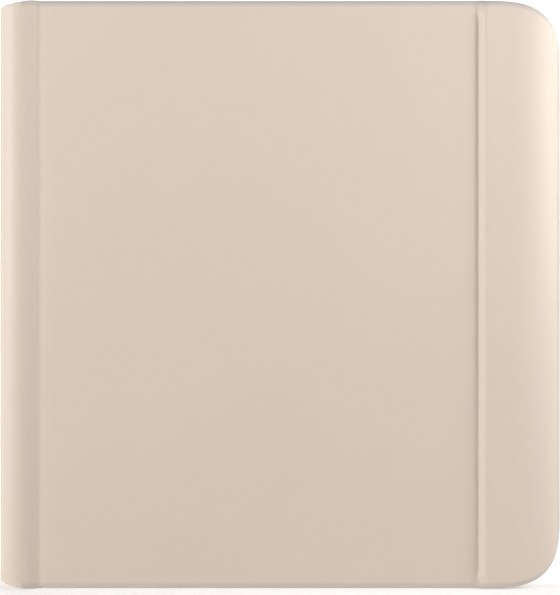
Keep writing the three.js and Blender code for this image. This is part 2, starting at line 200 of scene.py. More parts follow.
def apply_modifiers(obj):
    """Fixes the result of all modifiers into the mesh."""
    graph = bpy.context.evaluated_depsgraph_get()
    mesh = bpy.data.meshes.new_from_object(obj.evaluated_get(graph))
    obj.modifiers.clear()
    old = obj.data
    obj.data = mesh
    bpy.data.meshes.remove(old)


def cut(obj, cutter):
    """Takes a closed cutter out of a closed piece."""
    step = obj.modifiers.new("cut", "BOOLEAN")
    step.operation = "DIFFERENCE"
    step.object = cutter
    step.solver = "EXACT"
    apply_modifiers(obj)
    bpy.data.objects.remove(cutter)


# The rolled hems of the leather and the linings, and how far in from them the painted shade on the leather
# reaches.
HEM_RADIUS = 0.95
HEM_RUN = 1.3
HEM_BAND = 1.2
HEM_BLUR = 0.35
END_BAND = 3.2
END_BLUR = 1.2
TURNED_UNDER = 0.6
LEAST_CORE = 0.3
HALF_GAP = 0.01


def edge_rows(radius):
    """The rolled edge of a layer: distance in from the edge and depth below the face."""
    return [(0.0, None)] + [(HEM_RUN * run, depth) for run, depth in quarter(radius, 5)]


def rolled_end(path, radius):
    """For a path whose end is rolled over: how deep its face lies there, and the painted hem shade along it.
    """
    drops = [0.0] * len(path)
    painted_shades = [0.0] * len(path)
    drops[-1] = radius
    painted_shades[-1] = 1.0
    run = 0.0
    for i in range(len(path) - 1, 0, -1):
        run += math.dist(path[i], path[i - 1])
        painted_shades[i - 1] = 1 - smooth((run - END_BAND) / END_BLUR)
        if run < radius:
            drops[i - 1] = radius - math.sqrt(radius * radius - (radius - run) ** 2)
    return drops, painted_shades


def layer_faces(grid, round_end):
    """The faces of a layer: its front and back, and a wall at each end that isn't rolled over."""
    faces = []
    for a, b in zip(grid, grid[1:]):
        for j in range(len(a) - 1):
            faces.append((a[j][0], a[j + 1][0], b[j + 1][0], b[j][0]))
            faces.append((a[j][1], b[j][1], b[j + 1][1], a[j + 1][1]))
    for column in [grid[0]] if round_end else [grid[0], grid[-1]]:
        for j in range(len(column) - 1):
            faces.append((column[j][0], column[j][1], column[j + 1][1], column[j + 1][0]))
    return faces


def layer(name, node, slot, path, inset, thickness, relief=None, round_end=False, paint_hem_shade=True):
    """A closed layer of soft material, for a CAD node, that follows a path in X and Y and runs up in Z.

    The face lies on the path and the back lies inwards by thickness(x). inset(x, y) is how far its lower
    end is above the floor and its upper end below the top. relief(x, z) moves the face inwards, round_end
    rolls the path's end over, and the last flag marks the hems, where the leather's material paints shade.
    """
    normals = normals_of(path)
    last = len(path) - 1
    drops = [0.0] * len(path)
    end_painted_shades = [0.0] * len(path)
    if round_end:
        drops, end_painted_shades = rolled_end(path, min(HEM_RADIUS, thickness(path[-1][0]) / 2 - HALF_GAP))
    grid = []
    points = []
    shade_or_glow = []
    for i, ((x, y), (nx, ny)) in enumerate(zip(path, normals)):
        low = inset(x, y)
        high = HEIGHT - low
        thick = thickness(x)
        half = thick / 2
        roll = min(HEM_RADIUS, half - HALF_GAP)
        ends = [(d, half if depth is None else depth) for d, depth in edge_rows(roll)]
        first = low + ends[-1][0]
        span = high - low - 2 * ends[-1][0]
        stations = [(low + d, depth) for d, depth in ends]
        stations += [(first + span * t, 0.0) for t in ROWS]
        stations += [(high - d, depth) for d, depth in reversed(ends)]
        column = []
        for z, depth in stations:
            depth = min(half, max(depth, half if round_end and i == last else drops[i]))
            shift = relief(x, z) if relief else 0.0
            shift = min(shift, thick - depth - LEAST_CORE)
            outer = depth + (shift if depth < half else shift / 2)
            inner = thick - depth if depth < half else outer
            points.append((x - nx * outer, y - ny * outer, z))
            points.append((x - nx * inner, y - ny * inner, z))
            # The hem mask for painted shade: the band along the ends, the roll, the rolled end and the
            # turned-under back.
            from_end = min(z - low, high - z)
            in_band = 1 - smooth((from_end - HEM_BAND) / HEM_BLUR)
            face_painted_shade = max(in_band, smooth(depth / roll), end_painted_shades[i])
            back_painted_shade = 1.0 if depth > TURNED_UNDER * roll else 0.0
            shade_or_glow += [face_painted_shade, back_painted_shade]
            column.append((len(points) - 2, len(points) - 1))
        grid.append(column)
    faces = clean(layer_faces(grid, round_end), points)
    obj = make_object(name, points, faces, MATERIALS[slot], shade_or_glow=shade_or_glow if paint_hem_shade else None)
    dress(obj, None, node)
    return obj


SAME_PLACE = 1e-5


def clean(faces, points):
    """Faces without the corners that lie on each other."""
    kept = []
    for face in faces:
        corners = []
        for index in face:
            if not any(math.dist(points[index], points[c]) < SAME_PLACE for c in corners):
                corners.append(index)
        if len(corners) > 2:
            kept.append(corners)
    return kept


def bands(loops, closed=True):
    """The faces between each loop of points and the next."""
    faces = []
    for a, b in zip(loops, loops[1:]):
        for i in range(len(a) if closed else len(a) - 1):
            k = (i + 1) % len(a)
            faces.append((a[i], a[k], b[k], b[i]))
    return faces


def stacked(outline, rings):
    """The points of rings along Y, and the numbers of each ring's points.

    outline(inset) gives the points of a ring in X and Z. rings are (inset, y), from end to end.
    """
    points = []
    loops = []
    for inset, y in rings:
        ring = outline(inset)
        loops.append(list(range(len(points), len(points) + len(ring))))
        points += [(x, y, z) for x, z in ring]
    return points, loops


def rings_body(name, outline, rings, material, smooth_angle=40):
    """A closed body in rings along Y."""
    points, loops = stacked(outline, rings)
    faces = bands(loops) + [tuple(reversed(loops[0])), tuple(loops[-1])]
    return make_object(name, points, faces, material, smooth_angle)


def rounded_outline(x0, x1, z0, z1, left, right, steps=10):
    """outline(inset) for a rectangle in X and Z with its own radii at the left and the right."""

    def outline(inset):
        ring = []
        corners = [
            (x1 - right, z0 + right, right, -90),
            (x1 - right, z1 - right, right, 0),
            (x0 + left, z1 - left, left, 90),
            (x0 + left, z0 + left, left, 180),
        ]
        for cx, cz, radius, start in corners:
            r = max(0.01, radius - inset)
            shrink = max(0.0, inset - radius + 0.01)
            sx = -shrink if cx > (x0 + x1) / 2 else shrink
            sz = -shrink if cz > (z0 + z1) / 2 else shrink
            ring += arc(cx + sx, cz + sz, r, r, start, start + 90, steps)
        return ring

    return outline


def round_outline(x, z, start=0.0):
    """outline(inset) for a circle in X and Z with this radius before the inset."""

    def outline(inset):
        radius = start - inset
        return [(x + px, z + pz) for px, pz in arc(0, 0, radius, radius, 0, 360, 64)[:-1]]

    return outline


def turned(name, profile, x, material, segments=64):
    """A round body about an upright axis. profile is (radius, z), and closes on the axis or on itself."""
    points = []
    loops = []
    for radius, z in profile:
        if radius == 0:
            points.append((x, 0, z))
            loops.append([len(points) - 1] * segments)
            continue
        loops.append(list(range(len(points), len(points) + segments)))
        points += [(px, py, z) for px, py in arc(x, 0, radius, radius, 0, 360, segments)[:-1]]
    return make_object(name, points, clean(bands(loops), points), material, 30)


SHARP_ANGLE = 35
FLAT_ANGLE = 1.5


def softened(node, name, body, slot, width, segments=2):
    """A copy of a CAD node whose sharp edges are rounded, to stand for it."""
    obj = frame["nodes"][node].copy()
    obj.data = obj.data.copy()
    obj.name = name
    obj.parent = None
    for key in list(obj.keys()):
        del obj[key]
    bpy.context.collection.objects.link(obj)
    obj.hide_render = False
    obj.data.materials.clear()
    obj.data.materials.append(MATERIALS[slot])
    bm = bmesh.new()
    bm.from_mesh(obj.data)
    bmesh.ops.remove_doubles(bm, verts=bm.verts, dist=WELD_M * 10)
    bmesh.ops.dissolve_limit(bm, angle_limit=math.radians(FLAT_ANGLE), verts=bm.verts, edges=bm.edges)
    bm.to_mesh(obj.data)
    bm.free()
    step = obj.modifiers.new("soft", "BEVEL")
    step.width = width * MM
    step.segments = segments
    step.limit_method = "ANGLE"
    step.angle_limit = math.radians(SHARP_ANGLE)
    step.harden_normals = False
    apply_modifiers(obj)
    shade(obj, 40)
    dress(obj, body, node)


# Materials


def srgb(r, g, b):
    """Display colour, 0 to 255, as linear light."""
    values = []
    for channel in (r, g, b):
        c = channel / 255
        values.append(c / 12.92 if c <= 0.04045 else ((c + 0.055) / 1.055) ** 2.4)
    return (*values, 1.0)


class Surface:
    """A node material built around one Principled shader, in the object's own coordinates."""

    def __init__(self, name, roughness=0.5, metallic=0.0, **constants):
        self.material = bpy.data.materials.new(name)
        self.material.use_nodes = True
        tree = self.material.node_tree
        self.nodes = tree.nodes
        self.links = tree.links
        self.shader = self.nodes["Principled BSDF"]
        self.shader.inputs["Roughness"].default_value = roughness
        self.shader.inputs["Metallic"].default_value = metallic
        for socket, value in constants.items():
            self.shader.inputs[socket.replace("_", " ")].default_value = value
        self.place = self.nodes.new("ShaderNodeTexCoord").outputs["Object"]
        self.last_normal = None

    def node(self, kind, inputs):
        """A shader node whose inputs are set to these values, or linked to these outputs."""
        node = self.nodes.new(kind)
        for socket, value in inputs.items():
            if isinstance(value, bpy.types.NodeSocket):
                self.links.new(value, node.inputs[socket])
            else:
                node.inputs[socket].default_value = value
        return node

    def stretched(self, scale):
        """Coordinates scaled along each axis, for a brushed look."""
        node = self.node("ShaderNodeMapping", {"Scale": scale, "Vector": self.place})
        return node.outputs["Vector"]

    def noise(self, size_mm, detail=2.0, rough=0.5, place=None):
        """Cloudy noise whose largest features are about this size."""
        scale = 1 / (size_mm * MM)
        inputs = {"Scale": scale, "Detail": detail, "Roughness": rough, "Vector": place or self.place}
        return self.node("ShaderNodeTexNoise", inputs).outputs["Fac"]

    def cells(self, size_mm, feature):
        """A pattern of irregular cells about this size."""
        node = self.node("ShaderNodeTexVoronoi", {"Scale": 1 / (size_mm * MM), "Vector": self.place})
        node.feature = feature
        return node.outputs["Distance"]

    def attribute(self, name):
        """A number stored on the mesh."""
        node = self.nodes.new("ShaderNodeAttribute")
        node.attribute_name = name
        return node.outputs["Fac"]

    def between(self, fac, low, high, start=0.3, end=0.7):
        """A colour between two, by a pattern's value."""
        node = self.node("ShaderNodeValToRGB", {"Fac": fac})
        node.color_ramp.elements[0].position = start
        node.color_ramp.elements[1].position = end
        node.color_ramp.elements[0].color = low
        node.color_ramp.elements[1].color = high
        return node.outputs["Color"]

    def tones(self, fac, colour, darker, lighter):
        """A colour made a little darker or lighter by a pattern's value."""
        return self.between(fac, shifted(colour, darker), shifted(colour, lighter))

    def blend(self, fac, a, b):
        """A mix of two colours by a number or by a pattern's value."""
        node = self.nodes.new("ShaderNodeMix")
        node.data_type = "RGBA"
        if isinstance(fac, float):
            node.inputs["Factor"].default_value = fac
        else:
            self.links.new(fac, node.inputs["Factor"])
        self.links.new(a, node.inputs["A"])
        self.links.new(b, node.inputs["B"])
        return node.outputs["Result"]

    def level(self, fac, low, high, start=0.3, end=0.7):
        """A number between two, by a pattern's value."""
        inputs = {"Value": fac, "From Min": start, "From Max": end, "To Min": low, "To Max": high}
        return self.node("ShaderNodeMapRange", inputs).outputs["Result"]

    def colour(self, output):
        self.links.new(output, self.shader.inputs["Base Color"])

    def rough(self, output):
        self.links.new(output, self.shader.inputs["Roughness"])

    def bump(self, fac, height_mm, strength=1.0):
        """Adds relief of a real height on top of what is there."""
        node = self.node("ShaderNodeBump", {"Strength": strength, "Distance": height_mm * MM, "Height": fac})
        if self.last_normal:
            self.links.new(self.last_normal, node.inputs["Normal"])
        self.last_normal = node.outputs["Normal"]
        self.links.new(self.last_normal, self.shader.inputs["Normal"])


def shifted(colour, factor):
    """A colour made lighter or darker."""
    return (*[min(1.0, c * factor) for c in colour[:3]], 1.0)


LEATHER_COLOUR = srgb(212, 197, 183)
# The hems' colour is painted shade: the grey band where the rolled edges turn away from the lights.
HEM_SHADE_COLOUR = srgb(196, 186, 178)


def leather(name):
    """Smooth coated leather, with painted shade: greyer and darker where it is turned over at the hems."""
    s = Surface(name, roughness=0.5, Specular_IOR_Level=0.45, Sheen_Weight=0.06, Sheen_Roughness=0.4)
    mottle = s.noise(38, 3, 0.55)
    fine = s.noise(1.1, 3, 0.6)
    cloudy = s.tones(mottle, LEATHER_COLOUR, 0.985, 1.012)
    speckled = s.tones(fine, LEATHER_COLOUR, 0.985, 1.012)
    face = s.blend(0.4, cloudy, speckled)
    shaded_hem = s.tones(fine, HEM_SHADE_COLOUR, 0.98, 1.02)
    # Painted shade: the hem mask mixes in the greyer hem colour.
    s.colour(s.blend(s.attribute("shade_or_glow"), face, shaded_hem))
    s.rough(s.level(fine, 0.46, 0.56))
    s.bump(s.cells(0.42, "SMOOTH_F1"), 0.010, 0.55)
    s.bump(s.noise(0.9, 3, 0.6), 0.012, 0.5)
    s.bump(s.noise(14, 1), 0.05, 0.35)
    return s.material


def microfibre(name, colour):
    """Napped cloth with a soft pile."""
    s = Surface(name, roughness=0.95, Specular_IOR_Level=0.2, Sheen_Weight=0.35, Sheen_Roughness=0.6)
    nap = s.noise(5.5, 4, 0.65)
    pile = s.noise(0.35, 4, 0.7)
    s.colour(s.blend(0.5, s.tones(nap, colour, 0.93, 1.05),
                     s.tones(pile, colour, 0.86, 1.1)))
    s.bump(pile, 0.05, 0.7)
    s.bump(nap, 0.04, 0.4)
    return s.material


def moulded(name, colour, roughness=0.5, grain=0.25, height=0.006, coat=0.0):
    """Moulded plastic with a fine spark-eroded grain."""
    s = Surface(name, roughness=roughness, Specular_IOR_Level=0.5, Coat_Weight=coat, Coat_Roughness=0.3)
    tone = s.noise(26, 2)
    fine = s.noise(grain, 3, 0.6)
    s.colour(s.tones(tone, colour, 0.98, 1.015))
    s.rough(s.level(fine, roughness - 0.05, roughness + 0.06))
    s.bump(fine, height, 0.6)
    return s.material


def metal(name, colour, roughness=0.32, stretch=(1, 1, 14)):
    """Rolled or drawn sheet metal, with its grain along one axis."""
    s = Surface(name, roughness=roughness, metallic=1.0)
    streak = s.noise(1.2, 4, 0.6, s.stretched(stretch))
    s.colour(s.tones(streak, colour, 0.9, 1.05))
    s.rough(s.level(streak, roughness - 0.06, roughness + 0.1))
    s.bump(streak, 0.004, 0.5)
    return s.material


def circuit_board(name, colour):
    """Solder mask over tracks."""
    s = Surface(name, roughness=0.35, Specular_IOR_Level=0.5)
    tracks = s.cells(2.4, "DISTANCE_TO_EDGE")
    s.colour(s.between(tracks, shifted(colour, 1.5), colour, 0.02, 0.09))
    s.bump(tracks, 0.03, 0.4)
    return s.material


def paper_screen(name):
    """An unprinted electrophoretic page: pale grey with a very fine tooth."""
    s = Surface(name, roughness=0.6, Specular_IOR_Level=0.35)
    base = srgb(206, 206, 200)
    capsule = s.noise(0.16, 2, 0.7)
    cloud = s.noise(45, 2)
    s.colour(s.blend(0.5, s.tones(capsule, base, 0.95, 1.04),
                     s.tones(cloud, base, 0.985, 1.01)))
    s.bump(capsule, 0.004, 0.4)
    return s.material


def film(name, colour, alpha, roughness):
    """A thin clear or tinted film over what lies under it."""
    s = Surface(name, roughness=roughness, Specular_IOR_Level=0.5)
    tooth = s.noise(0.1, 2)
    s.colour(s.between(tooth, shifted(colour, 0.97), colour))
    s.shader.inputs["Alpha"].default_value = alpha
    s.bump(tooth, 0.002, 0.4)
    return s.material


MATERIALS = {
    "leather": leather("sand_leather"),
    "lining": microfibre("lining_microfibre", srgb(184, 168, 155)),
    "board": moulded("stiffener_board", srgb(143, 138, 130), 0.85, 0.6, 0.02),
    "tray": moulded("tray_plastic", srgb(203, 187, 173), 0.52, 0.28, 0.008),
    "casing": moulded("reader_plastic", srgb(226, 224, 219), 0.46, 0.3, 0.008),
    "keys": moulded("key_plastic", srgb(216, 214, 209), 0.36, 0.2, 0.002),
    "screen": paper_screen("paper_screen"),
    "clear": film("clear_film", srgb(236, 240, 242), 0.12, 0.35),
    "rubber": moulded("black_rubber", srgb(44, 44, 46), 0.8, 0.4, 0.01),
    "circuit_board": circuit_board("solder_mask", srgb(26, 84, 56)),
    "chip": moulded("chip_resin", srgb(38, 39, 42), 0.55, 0.2, 0.004),
    "steel": metal("spring_steel", srgb(186, 188, 190)),
    "magnet": metal("nickel_plate", srgb(178, 176, 172), 0.22, (1, 1, 1)),
    "cell": metal("cell_foil", srgb(150, 153, 158), 0.42, (1, 6, 1)),
    "flex": moulded("polyimide", srgb(176, 122, 52), 0.3, 0.5, 0.004, 0.3),
    "stylus": moulded("stylus_plastic", srgb(229, 227, 222), 0.4, 0.3, 0.004),
    "nib": moulded("nib_plastic", srgb(120, 122, 126), 0.6, 0.15, 0.004),
}

slot_of = {part["node"]: part["material_slot"] for part in frame["record"]["subparts"]}
for node, obj in frame["nodes"].items():
    obj.data.materials.clear()
    obj.data.materials.append(MATERIALS[slot_of[node]])


def dress(obj, body, node):
    """Puts a piece on its body, if it has one, and hides the CAD node it stands for."""
    if body:
        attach(obj, body)
    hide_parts(node)


# Front of the folio

# Both the step and the valley at the crease soften near the top and bottom edges.
STEP_UP = STRIP_Y - PANEL_Y
EDGE_SOFTENING = 5.5
EVEN_ROWS_FROM = 14.0
STEP_START = CREASE_X + 0.05
STEP_END = STEP_START + 1.95
STEP_EARLIER = 1.7
STEP_LATER = 1.2
VALLEY_START = STEP_START - 4.0
VALLEY_DEPTH = 0.66
VALLEY_POWER = 1.5
VALLEY_LIP = (-0.35, 0.9)

# The shoulder beside the barrel, then where the board inside the panel starts and where the pieces meet.
SHOULDER_R = 6.5
SHOULDER_ANGLE = math.radians(26)
SHOULDER_FILLET = 0.25
SHOULDER_DIP = 0.28
SHOULDER_RISE = 3.0
FILLET_END = -67.95
BOARD_START = FILLET_END + 0.3
BOARD_EDGE = 1.0
FLAT_SEAM_X = 50.0
BARREL_SEAM_X = BARREL_X + 0.5

# How far the ends stand in, and the loose curve of the right corners.
SPINE_END_START = -69.3
SPINE_END_INSET = 1.35
SPINE_END_RUN = 8.0
STRIP_INSET = 0.3
CORNER_RUN = 20.4
CORNER_RISE = 20.8
CORNER_PULL_X = 0.91
CORNER_PULL_Z = 0.4


def nearness(z):
    """0 in the middle of the height, 1 at the top and bottom edges."""
    from_edge = min(z, HEIGHT - z)
    return 1 - smooth(from_edge / EDGE_SOFTENING)


def barrel_y(x):
    """The barrel's round, then its shoulder: a tighter round, a straight slope and a fillet into a dip."""
    across = x - BARREL_X
    if across < 0:
        return -math.sqrt(BARREL_R ** 2 - across ** 2)
    bend = SHOULDER_R * math.sin(SHOULDER_ANGLE)
    if across < bend:
        return STRIP_Y + SHOULDER_R - math.sqrt(SHOULDER_R ** 2 - across ** 2)
    drop = SHOULDER_R * (1 - math.cos(SHOULDER_ANGLE)) + (across - bend) * math.tan(SHOULDER_ANGLE)
    floor = PANEL_Y + SHOULDER_DIP * (1 - ramp(x, FILLET_END, FILLET_END + SHOULDER_RISE))
    gap = floor - STRIP_Y - drop
    if gap < -SHOULDER_FILLET:
        return floor
    if gap > SHOULDER_FILLET:
        return STRIP_Y + drop
    return floor - (gap + SHOULDER_FILLET) ** 2 / (4 * SHOULDER_FILLET)


def face_y(x, z=MIDDLE_Z):
    """How far back the leather's face lies on the front, from the barrel's crest to the wrap."""
    near = nearness(z)
    start = STEP_START - STEP_EARLIER * near
    end = STEP_END + STEP_LATER * near
    y = barrel_y(x) + STEP_UP * ramp(x, start, end)
    into = min(max((x - VALLEY_START) / (start - VALLEY_START), 0.0), 1.0)
    dip = into ** VALLEY_POWER * (1 - ramp(x, start + VALLEY_LIP[0], start + VALLEY_LIP[1]))
    return y + VALLEY_DEPTH * (1 - near) * dip


def face_relief(x, z):
    """How much further in the face lies at this height than in the middle."""
    return face_y(x, z) - face_y(x)


def row_fractions():
    """Heights as fractions of the whole, close together near the edges, where the crease softens."""
    close = [v / HEIGHT for v in spread(0, EDGE_SOFTENING + 2, 12)]
    even = EVEN_ROWS_FROM / HEIGHT
    return close[1:] + spread(even, 1 - even, 18) + [1 - v for v in reversed(close[1:])]


ROWS = row_fractions()


def corner_points(inset, steps=26):
    """The outline's bottom right corner from the front, moved inwards: a loose curve, not a circle."""
    p0 = (RIGHT_X - CORNER_RUN, 0.0)
    p1 = (p0[0] + CORNER_PULL_X * CORNER_RUN, 0.0)
    p2 = (RIGHT_X, CORNER_PULL_Z * CORNER_RISE)
    p3 = (RIGHT_X, CORNER_RISE)
    points = []
    for t in spread(0, 1, steps):
        weights = ((1 - t) ** 3, 3 * (1 - t) ** 2 * t, 3 * (1 - t) * t ** 2, t ** 3)
        x, z = (sum(w * p[k] for w, p in zip(weights, (p0, p1, p2, p3))) for k in (0, 1))
        points.append((x, z))
    return [(x - nx * inset, z - nz * inset) for (x, z), (nx, nz) in zip(points, normals_of(points))]


LEATHER_CORNER = corner_points(0.0, 90)


def case_inset(x, y):
    """How far the leather's ends stand in: most on the spine, less on the strip, then round the corner."""
    if x < 0 <= y:
        return SPINE_END_INSET
    barrel = SPINE_END_INSET * min(max((SPINE_END_START - x) / SPINE_END_RUN, 0.0), 1.0)
    return barrel + STRIP_INSET * ramp(x, STEP_START, STEP_END) + lookup(LEATHER_CORNER, x)


def panel_thickness(x):
    """Leather alone over the barrel and the hinge, leather and board over the panel."""
    return SKIN + (PANEL_THICKNESS - SKIN) * ramp(x, BOARD_START, BOARD_START + BOARD_EDGE)


def wrap_path(inset, count):
    """The strip's wrap from its front to its rim."""
    return arc(WRAP_X, RIM_Y, WRAP_WIDTH - inset, WRAP_DEPTH - inset, -90, 0, count)


def front_path():
    """From the barrel's crest to a seam in the flat panel, with more points over the shoulder."""
    xs = spread(BARREL_SEAM_X, FILLET_END + 1.4, 34) + spread(FILLET_END + 2.5, FLAT_SEAM_X, 40)
    return [(x, face_y(x)) for x in xs]


def flap_path():
    """From that seam over the crease and round the wrap, with more points over the step."""
    xs = [FLAT_SEAM_X, FLAT_SEAM_X + 0.4] + spread(VALLEY_START - 0.6, STEP_END + 3.4, 44)
    xs += spread(STEP_END + 4.5, WRAP_X - 0.6, 4)
    return [(x, face_y(x)) for x in xs] + wrap_path(0.0, 40)


front_leather = layer(
    "front_leather", "front_skin", "leather", front_path(), case_inset, panel_thickness, face_relief,
)
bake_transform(front_leather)

flap_leather = layer(
    "flap_leather", "flap_skin", "leather", flap_path(), case_inset, lambda x: PANEL_THICKNESS,
    face_relief, round_end=True,
)
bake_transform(flap_leather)

# Spine

BACK_SEAM_X = box_mm("back_skin")[0][0] + 0.3


def spine_path():
    """From the seam in the back, round the barrel to its crest."""
    back = [(x, BACK_Y) for x in spread(BACK_SEAM_X, BARREL_X, 16)]
    barrel = arc(BARREL_X, 0, BARREL_R, BARREL_R, 90, 270, 48)[1:]
    return back + barrel + [(BARREL_SEAM_X, STRIP_Y)]


spine_leather = layer(
    "spine_leather", "spine_skin", "leather", spine_path(), case_inset, lambda x: SKIN, paint_hem_shade=False,
)
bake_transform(spine_leather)


def spine_parts():
    """The moulded core with the stylus channel, and the strip that lines its inner side."""
    softened("spine_core", "spine_core_moulding", "spine", "tray", 0.16)
    softened("spine_lining", "spine_lining_strip", "spine", "lining", 0.12)


spine_parts()

# Linings

LINING = 0.38
LINING_Y = PANEL_BACK_Y + LAYER_GAP
LINING_INSET = 1.4
LINING_SEAM_X = 52.9
LINING_CORNER = corner_points(LINING_INSET, 90)
FOLD_FOOT_Y = -2.9
FOLD_BEND_Y = -4.0
FOLD_BEND = ((0.12, -0.35), (0.45, -0.58), (0.95, -0.6))
FOLD_RISE = 1.2
FOLD_START = -68.6
FOLD_END = -66.9


def lining_inset(x):
    """How far the lining's ends stand in: evenly, then round the corner."""
    return max(LINING_INSET, lookup(LINING_CORNER, x))


def front_lining_path():
    """From the inner side of the spine, round the hinge and along the back of the panel."""
    foot_x = box_mm("spine_lining")[1][0] + 0.02
    rise = [(foot_x, y) for y in spread(FOLD_FOOT_Y, FOLD_BEND_Y, 4)]
    bend = [(foot_x + dx, FOLD_BEND_Y + dy) for dx, dy in FOLD_BEND]
    fold_xs = spread(FOLD_START + 0.3, FOLD_END, 8)
    ease = [(x, LINING_Y - FOLD_RISE * (1 - ramp(x, FOLD_START, FOLD_END))) for x in fold_xs]
    level = [(x, LINING_Y) for x in spread(FOLD_END + 0.9, LINING_SEAM_X, 30)]
    return rise + bend + ease + level


def flap_lining_path():
    """From the front lining's seam down the crease's step and round the wrap."""
    step_x = CREASE_X - 0.3
    start = [(x, LINING_Y) for x in spread(LINING_SEAM_X, step_x - 0.3, 8)]
    step_xs = spread(step_x, step_x + 3.1, 14)
    step = [(x, LINING_Y + STEP_UP * ramp(x, step_x, step_x + 2.9)) for x in step_xs]
    level = [(x, LINING_Y + STEP_UP) for x in spread(step_x + 4.1, WRAP_X - 0.6, 4)]
    return start + step + level + wrap_path(PANEL_THICKNESS + LAYER_GAP, 26)


front_lining = layer(
    "front_lining_sheet", "front_lining", "lining", front_lining_path(), lambda x, y: lining_inset(x),
    lambda x: LINING,
)
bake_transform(front_lining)
flap_lining = layer(
    "flap_lining_sheet", "flap_lining", "lining", flap_lining_path(), lambda x, y: lining_inset(x),
    lambda x: LINING, round_end=True,
)
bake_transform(flap_lining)

# Back shell

back_lo, back_hi = box_mm("back_skin")
power_lo, power_hi = box_mm("power_button")
POWER_X = (power_lo[0] + power_hi[0]) / 2
POWER_Z = (power_lo[2] + power_hi[2]) / 2
POWER_HOLE = 7.2
HOLE_ROLL = 0.35
HOLE_OVERSHOOT = 0.4
HOLE_DEPTH = 6.0
port_lo, port_hi = box_mm("usb_port")
PORT_X = (port_lo[0] + port_hi[0]) / 2
NOTCH_HALF_WIDTH = 7.0
NOTCH_HALF_DEPTH = 3.0
NOTCH_CORNER = 0.5
NOTCH_RINGS = ((0.0, 0.0), (0.0, 4.0), (0.6, 4.6))
BACK_FOLD = 1.5
BACK_INNER_FOLD = 0.7
RIM_SOFTENING = 0.12


def open_outline(x0, x1):
    """outline(inset) that runs along the bottom, round the right side and back along the top."""

    def outline(inset):
        corner = [(x + x1 - RIGHT_X, z) for x, z in corner_points(inset)]
        low = [(x, inset) for x in spread(x0, corner[0][0], 14)][:-1]
        side = [(x1 - inset, z) for z in spread(CORNER_RISE, HEIGHT - CORNER_RISE, 10)][1:-1]
        mirrored = [(x, HEIGHT - z) for x, z in reversed(low + corner)]
        return low + corner + side + mirrored

    return outline


def tub(name, outline, outer, inner, material):
    """A shell with a wall round three sides. outer and inner are (inset, y), from the rim to the back."""
    points, loops = stacked(outline, list(reversed(inner)) + outer)
    open_side = [loop[0] for loop in loops] + [loop[-1] for loop in reversed(loops)]
    faces = bands(loops, closed=False) + [tuple(loops[0]), tuple(reversed(loops[-1])), tuple(open_side)]
    return make_object(name, points, clean(faces, points), material)


def power_hole():
    """A round cutter along Y whose mouth flares, so that the hole has a rolled edge."""
    rings = [(-POWER_HOLE - HOLE_ROLL, BACK_Y + HOLE_OVERSHOOT)]
    rings += [(-POWER_HOLE - depth, BACK_Y - run) for run, depth in quarter(HOLE_ROLL, 4)]
    rings.append((-POWER_HOLE, BACK_Y - HOLE_DEPTH))
    return rings_body("cutter", round_outline(POWER_X, POWER_Z), rings, MATERIALS["leather"])


def port_notch():
    """A cutter for the notch under the charging port."""
    x0, x1 = PORT_X - NOTCH_HALF_WIDTH, PORT_X + NOTCH_HALF_WIDTH
    outline = rounded_outline(x0, x1, -NOTCH_HALF_DEPTH, NOTCH_HALF_DEPTH, NOTCH_CORNER, NOTCH_CORNER, 4)
    return rings_body("cutter", outline, NOTCH_RINGS, MATERIALS["leather"])


def back_shell():
    """The leather of the back with its three walls, and the tray that it covers."""
    wall_y = back_lo[1]
    outline = open_outline(BACK_SEAM_X, back_hi[0])
    outer = [(SKIN / 2, wall_y), (RIM_SOFTENING, wall_y + RIM_SOFTENING), (0.0, wall_y + SKIN / 2)]
    outer += [(run, BACK_Y - depth) for run, depth in quarter(BACK_FOLD, 4)]
    inner = [(SKIN - RIM_SOFTENING, wall_y + RIM_SOFTENING), (SKIN, wall_y + SKIN / 2)]
    inner += [(SKIN + run, BACK_Y - SKIN - depth) for run, depth in quarter(BACK_INNER_FOLD, 2)]
    shell = tub("back_leather", outline, outer, inner, MATERIALS["leather"])
    cut(shell, power_hole())
    cut(shell, port_notch())
    shade(shell, 40)
    dress(shell, "reader", "back_skin")
    softened("tray_shell", "tray_moulding", "reader", "tray", 0.22, 3)


back_shell()

# Reader casing

bezel_lo, bezel_hi = box_mm("front_bezel")
CASING = (bezel_lo[0], bezel_hi[0], bezel_lo[2], bezel_hi[2])
GRIP_Y = bezel_lo[1]
READER_Y = -2.7
READER_ROLL = 1.1
GRIP_FOOT = 56.5
GRIP_TOP = 59.5
GRIP_ROUND_X = 66.0
GRIP_ROUND_Y = 0.2
READER_CORNER = 12.2
READER_LEFT_CORNER = 4.0
CORNER_SPAN = 25.0
LIP = 0.65
GRIP_WALL = 1.0
HOUSING_RIM = 1.0
SCREEN = (-61.2, 45.9, 13.7, 156.0)
OPENING_CHAMFER = 0.3
OPENING_STEP = 0.18
LOW_ROWS = [1.6, 2.6, 4.2, 6.5, 9.0, 11.4]
HIGH_ROWS = [1.6, 2.6, 4.0, 5.6]
ROLL_RUNS = [0.0] + [run for run, _ in quarter(READER_ROLL, 5)]


def reader_face(x):
    """The reader's front: level over the page, up a slope to the grip, then round to the right edge."""
    y = READER_Y + (GRIP_Y - READER_Y) * ramp(x, GRIP_FOOT, GRIP_TOP)
    if x > GRIP_ROUND_X:
        run = min(1.0, (x - GRIP_ROUND_X) / (bezel_hi[0] - GRIP_ROUND_X))
        y = GRIP_ROUND_Y - (GRIP_ROUND_Y - GRIP_Y) * math.sqrt(max(0.0, 1 - run * run))
    return y


def inside_casing(x, z):
    """Distance in from the casing's outline."""
    x0, x1, z0, z1 = CASING
    left = x < (x0 + x1) / 2
    radius = READER_LEFT_CORNER if left else READER_CORNER
    dx = (x - x0) if left else (x1 - x)
    dz = min(z - z0, z1 - z)
    if dx < radius and dz < radius:
        return radius - math.hypot(radius - dx, radius - dz)
    return min(dx, dz)


